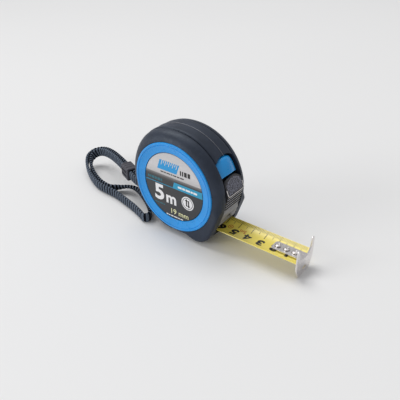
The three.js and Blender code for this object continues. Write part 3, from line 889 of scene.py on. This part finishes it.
def label_text(name, text, height, x, z, look, narrow, bold):
    """Raised lettering on the label, centred there."""
    thick = 0.07
    obj = lettering("label_" + name, text, height, narrow, bold, thick)
    place = Matrix.Translation(Vector(on_label(x, z, thick / 2)) * MM)
    obj.data.transform(place @ Matrix.Rotation(math.pi / 2, 4, "X"))
    finish(obj, look, "case", "label_print")


def circle_cut(radius, level, n=72):
    """The part of a disc above a level."""
    reach = math.asin(level / radius)
    return [
        (radius * math.cos(a), radius * math.sin(a))
        for a in (reach + (math.pi - 2 * reach) * i / n for i in range(n + 1))
    ]


def bar(x0, x1, z0, z1, slant=0.0):
    """An upright bar whose top is moved sideways by slant."""
    return [(x0, z0), (x1, z0), (x1 + slant, z1), (x0 + slant, z1)]


def annulus(outer, inner, x, z, n):
    big, small = circle(outer, x, z, n), circle(inner, x, z, n)
    return [[big[i - n], big[i + 1 - n], small[i + 1 - n], small[i - n]] for i in range(n)]


def word_bars(x, z, height, widths, gap):
    """A row of bars that stands for a line of small print."""
    bars = []
    for width in widths:
        bars.append(bar(x, x + width, z, z + height))
        x += width + gap
    return bars


def make_label():
    plate = lathe("label_plate", [
        (0, -15.3), (LABEL_R, -15.3), (LABEL_R, LABEL_Y + 0.2), (LABEL_R - 0.2, LABEL_Y), (0, LABEL_Y),
    ], 0, AXIS_Z, n=120)
    finish(plate, "label", "case", "label_print", "label_near")
    label_piece("cap", [circle_cut(LABEL_R - 0.25, 7.3)], "silver")
    banner = [(-0.4, -0.4), (24.4, -0.4), (24.1, 4.4), (0.9, 4.4)]
    label_piece("banner", [banner], "cyan")
    label_piece("rule", [bar(-24.2, -0.6, -0.35, 0.1)], "cyan")
    label_text("five", "5", 12.3, -12.6, -7.4, "white", 1.12, 0.03)
    label_text("metre", "m", 6.3, -2.2, -10.4, "white", 1.0, 0.03)
    label_piece("badge", [circle(5.1, 12.0, -8.0, 40)], "white")
    label_piece("badge_line", annulus(4.3, 3.9, 12.0, -8.0, 40), "black", 0.06, 0.1)
    label_piece("badge_arrow", [
        [(10.6, -6.4), (11.6, -6.4), (11.6, -10.4), (10.6, -10.4)],
        [(9.7, -6.4), (11.1, -4.7), (12.5, -6.4)],
        [(12.4, -5.6), (13.4, -5.6), (13.4, -9.6), (12.4, -9.6)],
        [(11.5, -9.6), (12.9, -11.3), (14.3, -9.6)],
    ], "black", 0.06, 0.1)
    label_text("width", "19 mm", 4.0, 4.9, -18.9, "cream", 1.05, 0.01)
    label_piece("print_low", word_bars(-7.2, -23.4, 0.8, (1.9, 1.2, 2.3, 3.1, 1.5, 2.2), 0.5), "white")
    label_piece("print_high", word_bars(-22.3, 1.7, 1.9, (1.5, 1.1, 2.4, 2.0, 2.6, 1.2), 0.4), "teal")
    label_piece("print_mid", word_bars(-17.2, -16.6, 0.8, (2.1, 1.4, 2.6, 1.6), 0.5), "teal")
    label_piece("print_banner", word_bars(4.2, 1.2, 1.4, (3.2, 2.3, 3.6, 1.8, 3.0), 0.5), "white", 0.06, 0.1)
    bottom, top, slant = 11.0, 18.2, 2.6    # of the ruler mark
    label_piece("mark", [bar(-13.2, 3.4, bottom, top, slant)], "mark", 0.06, 0.12)
    ticks = []
    for i in range(9):
        x = -11.2 + 1.6 * i
        low = top - (2.2 if i % 2 else 3.6)
        foot = x + slant / 7.2 * (low - bottom)
        ticks.append([(foot, low), (foot + 0.55, low), (x + 0.55 + slant, top), (x + slant, top)])
    label_piece("mark_ticks", ticks, "silver", 0.12, 0.16)
    label_piece("print_cap", word_bars(6.4, 11.4, 3.4, (1.0, 1.0, 2.2, 2.0), 0.7), "black", 0.06, 0.1)
    low_print = word_bars(-10.4, 9.0, 0.8, (2.6, 1.7, 3.1, 1.4, 2.8, 2.2, 3.0), 0.5)
    label_piece("print_cap_low", low_print, "black", 0.06, 0.1)


# ---- front controls -----------------------------------------------------------------------------

def crown(y):
    """Radius of the button's face, which falls away to both sides."""
    return CASE_R + 0.9 - 3.4 * abs(y / CONTROL_HALF) ** 1.9


def button_edges(y):
    """Lowest and highest Z of the button's face at y."""
    low = BUTTON_NOTCH[1] + math.sqrt(BUTTON_NOTCH[0] ** 2 - y * y)
    share = abs(y) / (CONTROL_HALF - 0.1)
    return low, 56.5 + 5.4 * math.sqrt(max(0.0, 1 - share ** 2.2))


def make_button():
    """A cap crowned across its width, arched at the top and hollowed at the bottom round the slider."""
    inner, reach, columns, rows = CASE_R - 3.4, CONTROL_HALF - 0.1, 44, 30
    front, back = [], []
    for i in range(columns + 1):
        y = reach * math.sin(math.pi / 2 * (2 * i / columns - 1))
        low, high = button_edges(y)
        face = []
        for j in range(rows + 1):
            z = low + (high - low) * (1 - math.cos(math.pi * j / rows)) / 2
            edge = min(z - low, high - z, reach - abs(y))
            share = min(1.0, max(0.0, edge) / BUTTON_ROUND)
            radius = crown(y) - BUTTON_ROUND * (1 - math.sqrt(share * (2 - share)))
            face.append((math.sqrt(radius ** 2 - (z - AXIS_Z) ** 2), y, z))
        front.append(face)
        back.append([(math.sqrt(inner ** 2 - (z - AXIS_Z) ** 2), y, z) for _, _, z in face])
    points = [p for column in front for p in column] + [p for column in back for p in column]
    up, behind = rows + 1, (columns + 1) * (rows + 1)   # steps to the next column and to the back
    faces = []
    for i in range(columns):
        for j in range(rows):
            a, b = i * up + j, (i + 1) * up + j
            faces += [(a, b, b + 1, a + 1), (behind + a, behind + a + 1, behind + b + 1, behind + b)]
    for i in range(columns):
        for a in (i * up, i * up + rows):
            faces.append((a, a + up, behind + a + up, behind + a))
    for j in range(rows):
        for a in (j, columns * up + j):
            faces.append((a, a + 1, behind + a + 1, behind + a))
    cap = solid("button_cap", points, faces, 60)
    stem = block("stem", (31, 35.4), (-1.5, 1.5), (AXIS_Z - 1.5, AXIS_Z + 1.5))
    cap = carve(cap, [turned(stem, -BUTTON_ANGLE, (0, 0, AXIS_Z))], "UNION", 60)
    finish(cap, "cap", "button", "blue_plastic", "push_button")


def slider_face(z):
    """X of the slider's pad at height z."""
    stops = [(40.0, 39.55), (41.2, 39.25), (44.8, 37.85), (48.0, 36.6), (51.6, 35.6)]
    for (z0, x0), (z1, x1) in zip(stops, stops[1:]):
        if z <= z1:
            return x0 + (x1 - x0) * (z - z0) / (z1 - z0)
    return stops[-1][1]


def round_top(name, radius):
    """Everything under the slider's round top."""
    half, shoulder, steps = CONTROL_HALF + 1, 46.5, 40
    outline = [(half, shoulder), (half, 20), (-half, 20), (-half, shoulder)]
    start = math.asin((shoulder - SLIDER_TOP[1]) / radius)
    for i in range(steps + 1):
        angle = math.pi - start - (math.pi - 2 * start) * i / steps
        outline.append((radius * math.cos(angle), SLIDER_TOP[1] + radius * math.sin(angle)))
    return prism(name, outline, 20, 50, "X")


def make_slider():
    """Ribs under a ridge with their crests in a lighter grey as painted light, a stippled pad above it, and a
    bright steel bead round the pad's lower part as a painted highlight.
    """
    ribs = []
    top, low = (39.4, 39.6), (36.4, 28.0)
    for i in range(RIB_COUNT):
        for at, out in ((0, 0.0), (0.06, RIB_DEPTH), (0.38, RIB_DEPTH), (0.44, 0.0)):
            t = (i + at) / RIB_COUNT
            x = low[0] + (top[0] - low[0]) * t
            ribs.append((x - RIB_DEPTH + out, low[1] + (top[1] - low[1]) * t))
    profile = [
        (35.5, 27.8), *ribs, (39.55, 40.0), (39.25, 41.2), (38.6, 42.9), (37.85, 44.8), (37.2, 46.4),
        (36.6, 48), (36.1, 49.8), (35.6, 51.6), (34.7, 51.6), (34.7, 31.6), (35.5, 30.8),
    ]
    pad = prism("slider_body", profile, -CONTROL_HALF, CONTROL_HALF)
    pad = carve(pad, [round_top("top", SLIDER_TOP[0])], "INTERSECT")
    pad = round_edges(pad, 0.1, 2, 50)
    stem = block("stem", (27.6, 35), (-4.4, 4.4), (35.5, 41.5))
    pad = carve(pad, [stem], "UNION", 50)
    finish(crisp(pad), "case", "lock", "control_plastic", "lock_slider")
    slope = (top[0] - low[0]) / (top[1] - low[1])

    def on_rib(face):
        height = face.center.z / MM
        crest = low[0] + slope * (height - low[1])
        return height < 39.9 and face.center.x / MM > crest - 0.25

    # Rib crests facing the front get a lighter grey: painted light
    second_look(pad, "painted_light_facet", on_rib)

    heights = [40.9, 42.5, 44.4, 46.2, 48.0, 49.6, 51.2]
    face = [(slider_face(z) + 0.12, z) for z in heights]
    back = [(x - 0.6, z - 0.2) for x, z in reversed(face)]
    skin = prism("slider_grip", [*face, *back], -7.6, 7.6)
    skin = carve(skin, [round_top("top", SLIDER_TOP[0] - 1.1)], "INTERSECT")
    skin = round_edges(skin, 0.12, 2, 50)
    finish(crisp(skin), "stipple", "lock", "control_plastic")

    half = [(slider_face(44.6), 8.5, 44.6), (slider_face(42.6), 8.52, 42.6), (39.2, 8.35, 40.9),
            (39.5, 7.5, 40.1), (39.55, 4, 39.95)]
    path = [*[(x, -y, z) for x, y, z in half], (39.55, 0, 39.95), *reversed(half)]
    # Bright steel bead along the pad's lower edge: a painted highlight where the edge catches the light
    finish(bead("slider_rim_painted_highlight", path, 0.27), "steel", "lock", "control_plastic")


def bead(name, path, radius):
    """A thin round bar along a path."""
    turns = [2 * math.pi * i / 10 for i in range(10)]
    line = evenly(curve_points(path, 12), 0.35)
    rings = []
    for point, tangent in zip(line, tangents(line)):
        across = tangent.cross(Vector((1, 0, 0.3))).normalized()
        other = tangent.cross(across).normalized()
        rings.append([
            point + across * radius * math.cos(a) + other * radius * math.sin(a) for a in turns
        ])
    return loft(name, rings, 60)


def make_mouth():
    """Lip over the blade: a ridge in line with the case's nose, then ledges down to the blade. Its faces
    turned towards +X are painted lighter, as painted light on the front.
    """
    profile = [
        (29.2, 15.5), (32.3, 15.5), (32.6, 16.6), (33.0, 16.8), (33.4, 18.6), (33.9, 19.0), (34.4, 21.6),
        (34.9, 22.2), (35.25, 24.6), (35.3, 25.2), (35.15, 26.6), (34.9, 27.3), (33.2, 27.3), (32.9, 25.4),
        (29.2, 25.4),
    ]
    lip = prism("mouth_step", profile, -9.3, 9.3)
    hollow = prism("hollow", [(-6.4, 15.0), (0, 21.5), (6.4, 15.0)], 32.4, 40, "X")
    lip = round_edges(carve(lip, [hollow]), 0.2, 2, 40)
    finish(crisp(lip), "control", "case", "control_plastic", "mouth_lip")
    # Faces turned towards +X and not down get a lighter grey: painted light on the front
    second_look(lip, "painted_light_facet", lambda face: face.normal.x > 0.3 and face.normal.z > -0.35)


# ---- blade and hook -----------------------------------------------------------------------------

def blade_arc(radius):
    """The blade's hollow section as (y, z), at that radius from the centre of its curve."""
    reach, steps = math.asin(BLADE_HALF / BLADE_CURVE_R), 28
    turns = [reach * (2 * i / steps - 1) for i in range(steps + 1)]
    return [(radius * math.sin(a), BLADE_CENTRE_Z - radius * math.cos(a)) for a in turns]


def blade_band(name, x0, x1, upper, lower):
    """A stretch of the blade's section between two radii."""
    outline = [*blade_arc(lower), *reversed(blade_arc(upper))]
    steps = max(1, round((x1 - x0) / 3))
    rings = [[(x0 + (x1 - x0) * i / steps, y, z) for y, z in outline] for i in range(steps + 1)]
    return loft(name, rings)


def figure(text, height, x, y, narrow, bold):
    """A figure that reads towards -X, with its top towards -Y, tall enough to cut the blade's skin."""
    obj = lettering("figure", text, height, narrow, bold, 6.0)
    place = Matrix.Translation(Vector((x, y, 12.0)) * MM)
    obj.data.transform(place @ Matrix.Rotation(math.pi, 4, "Z"))
    return obj


def figure_four(x):
    """A 4 in the same stance, because the font's own closes up when it is bold."""
    strokes = [
        [(0.42, 0), (0.62, 0), (0.62, 1), (0.42, 1)],
        [(0, 0.2), (0.8, 0.2), (0.8, 0.37), (0, 0.37)],
        [(0, 0.3), (0.2, 0.3), (0.56, 0.86), (0.5, 1.0), (0.42, 1.0)],
    ]
    return upright("figure", [
        [(x - (u - 0.4) * FIGURE_HEIGHT, FIGURE_Y - (v - 0.5) * FIGURE_HEIGHT) for u, v in stroke]
        for stroke in strokes
    ])


def scale_ticks():
    """Millimetre marks along one edge, longer at every fifth and tenth."""
    ticks, edge = [], BLADE_HALF - 0.25
    for n in range(2, int(ZERO_X - BLADE_SHOWN_X - 0.3) + 1):
        x = ZERO_X - n
        length, half = next(size for every, *size in TICKS if n % every == 0)
        ticks.append(bar(x - half, x + half, edge - length, edge))
    return ticks


def print_on_blade(name, tools, look, end):
    """Ink as thin raised shapes that follow the hollow of the blade, as far out as end."""
    skin = blade_band(name, BLADE_SHOWN_X + 0.1, end, BLADE_CURVE_R - 0.05, BLADE_CURVE_R + 0.02)
    ink = carve(skin, [merged("ink", tools)], "INTERSECT", tangled=True)
    finish(ink, look, "blade", "blade_paint")


def upright(name, polygons):
    """Polygons in X and Y as bodies tall enough to cut the blade's skin."""
    return raised(name, polygons, lambda a, b, height: (a, b, height), 9.0, 15.0)


def make_blade():
    for name, start, end, node in (
        ("blade_out", BLADE_SPLIT_X, BLADE_END_X, "blade"),
        ("blade_root", BLADE_SHOWN_X, BLADE_SPLIT_X, "blade_inner"),
    ):
        stretch = blade_band(name, start, end, BLADE_CURVE_R, BLADE_CURVE_R + BLADE_THICK)
        finish(stretch, "paint", "blade", "blade_paint", node)
    figures = [
        figure(str(n), FIGURE_HEIGHT, ZERO_X - 10 * n + 0.2, FIGURE_Y, 1.2, 0.05) for n in (1, 2, 3, 5, 6)
    ]
    figures.append(figure_four(ZERO_X - 39.8))
    print_on_blade("blade_figures", figures, "black", 88)
    print_on_blade("blade_ticks", [upright("ticks", scale_ticks())], "black", 89.5)
    seal = upright("seal", [*annulus(1.9, 1.45, 35.2, 1.3, 24), bar(34.3, 36.1, 1.0, 1.6)])
    print_on_blade("blade_red", [figure("5m", 3.0, 45.0, 1.3, 0.95, 0.01), seal], "red", 60)


def make_hook():
    """Plate with two tall ears and a nail slot, and a tongue that the rivets hold on the blade."""
    front, half, top = ZERO_X, 4.2, 12.3
    plate = prism("hook_plate", [
        (-7.2, 0.5), (7.2, 0.5), (10.6, 8.2), (10.6, 19.5), (10.35, 21.4), (9.9, 22.2), (8.9, 22.2),
        (8.55, 21.6), (7.6, 15.5), (half, top), (-half, top), (-7.6, 15.5), (-8.55, 21.6), (-8.9, 22.2),
        (-9.9, 22.2), (-10.35, 21.4), (-10.6, 19.5), (-10.6, 8.2),
    ], front, front + 1, "X")
    tongue = prism("tongue", [
        (70.2, -half), (front + 0.5, -half), (front + 0.5, half), (70.2, half), (69.35, 3.5), (69, 2.6),
        (69, -2.6), (69.35, -3.5),
    ], top - 0.8, top, "Z")
    bend = prism("bend", [
        (front - 0.9, 12.2), (front - 0.9, top), (front + 0.5, top), (front + 0.5, 11.0), (front, 11.0),
        (front - 0.25, 11.5),
    ], -half, half)
    hook = carve(plate, [tongue, bend], "UNION")
    slot = prism("nail_slot", [
        (-2.2, 4.3), (-1.8, 4.0), (1.8, 4.0), (2.2, 4.3), (2.2, 5.5), (1.8, 5.8), (-1.8, 5.8), (-2.2, 5.5),
    ], front - 1, front + 3, "X")
    cuts = [block("rivet_slot", (x - 2.2, x + 1.2), (-1.2, 1.2), (10, 14)) for x in RIVET_XS]
    hook = round_edges(carve(hook, [slot, *cuts]), 0.22, 3, 30)
    finish(crisp(hook), "steel", "hook", "bright_steel", "end_hook")


def make_rivet(i, x):
    """A tubular rivet with a rolled rim and a sunk middle."""
    profile = [
        (0, 9.2), (1.3, 9.2), (1.9, 9.4), (1.9, 9.8), (0.9, 9.8), (0.9, 12.6), (1.9, 12.6), (2.0, 12.8),
        (1.95, 13.05), (1.7, 13.3), (1.35, 13.38), (1.05, 13.2), (0.85, 12.8), (0.8, 12.4), (0, 12.3),
    ]
    rivet = lathe(f"rivet_{i}_tube", profile, x, 0, "Z", 40, 40)
    finish(rivet, "steel", "blade", "bright_steel", f"rivet_{i}")


# ---- far side -----------------------------------------------------------------------------------

def make_screw(name, profile, x, z, n, reach, low, high, node):
    """A turned screw with a cross cut into its head, from low to high."""
    slim = 0.22 * reach
    arms = [
        block("cross", (x - a, x + a), (low, high), (z - b, z + b)) for a, b in ((reach, slim), (slim, reach))
    ]
    screw = carve(lathe(name, profile, x, z, n=n, sharp=40), arms, sharp=40)
    finish(screw, "steel", "case", "bright_steel", node)


def make_case_screw(i, x, z):
    profile = [
        (0, -9), (0.5, -9), (0.7, -8.6), (0.7, 15.2), (2.2, 15.2), (2.4, 15.4), (2.4, 15.9), (2.2, 16.4),
        (1.6, 16.75), (0.8, 16.88), (0, 16.9),
    ]
    make_screw(f"case_screw_{i}_head", profile, x, z, 40, 1.2, 16.0, 18, f"case_screw_{i}")


def make_clip():
    """Sprung plate that stands off the case, turned outward at its lower edge, and its screw."""
    screw_z = AXIS_Z + 19
    inner = [(22.2, screw_z + 7), (22.2, 14.2), (22.35, 13.2), (22.8, 12.0), (23.8, 10.0)]
    outer = [(24.6, 10.4), (23.75, 12.4), (23.3, 13.5), (23.1, 14.4), (23.1, screw_z + 7)]
    plate = prism("clip_plate", [*inner, *outer], -15, 15, "X")
    top_corner = [(16, 44), (16, screw_z + 9), (7, screw_z + 9)]
    low_corner = [(16, 8), (16, 16), (13.5, 12), (12, 8)]
    cuts = [
        prism("corner", [(side * x, z) for x, z in corner], 18, 28)
        for corner in (top_corner, low_corner) for side in (-1, 1)
    ]
    plate = carve(plate, [*cuts, disc("hole", 1.5, 0, screw_z, 18, 28, 40)])
    plate = round_edges(plate, 0.25, 2, 30)
    finish(crisp(plate), "clip", "case", "clip_steel", "belt_clip")
    profile = [
        (0, 14), (0.9, 14), (0.9, 23.3), (2.8, 23.3), (3, 23.5), (3, 23.9), (2.8, 24.4), (2.0, 24.75),
        (1.0, 24.88), (0, 24.9),
    ]
    make_screw("clip_screw_head", profile, 0, screw_z, 48, 1.6, 24.0, 26, "clip_screw")


# ---- nodes that keep their CAD shape ------------------------------------------------------------

KEPT = {
    "case": ("case_shell_near", "case_shell_far", "centre_post"),
    "control": ("reel", "lock_shoe", "bottom_stop"),
    "paint": ("tape_coil",),
    "spring": ("power_spring", "button_spring"),
    "steel": ("strap_pin",),
}


def dress_kept_nodes():
    for look, names in KEPT.items():
        for name in names:
            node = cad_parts[name]
            node.data.materials.clear()
            node.data.materials.append(LOOKS[look])


make_camera()
make_stopper()
make_strap()
make_lights()
make_floor()
for side, name in ((-1, "near"), (1, "far")):
    make_grip(side, name)
    make_ring(side, name)
make_label()
make_button()
make_slider()
make_mouth()
make_blade()
make_hook()
for i, x in enumerate(RIVET_XS, 1):
    make_rivet(i, x)
for i, (x, z) in enumerate(case_screw_places(), 1):
    make_case_screw(i, x, z)
make_clip()
dress_kept_nodes()
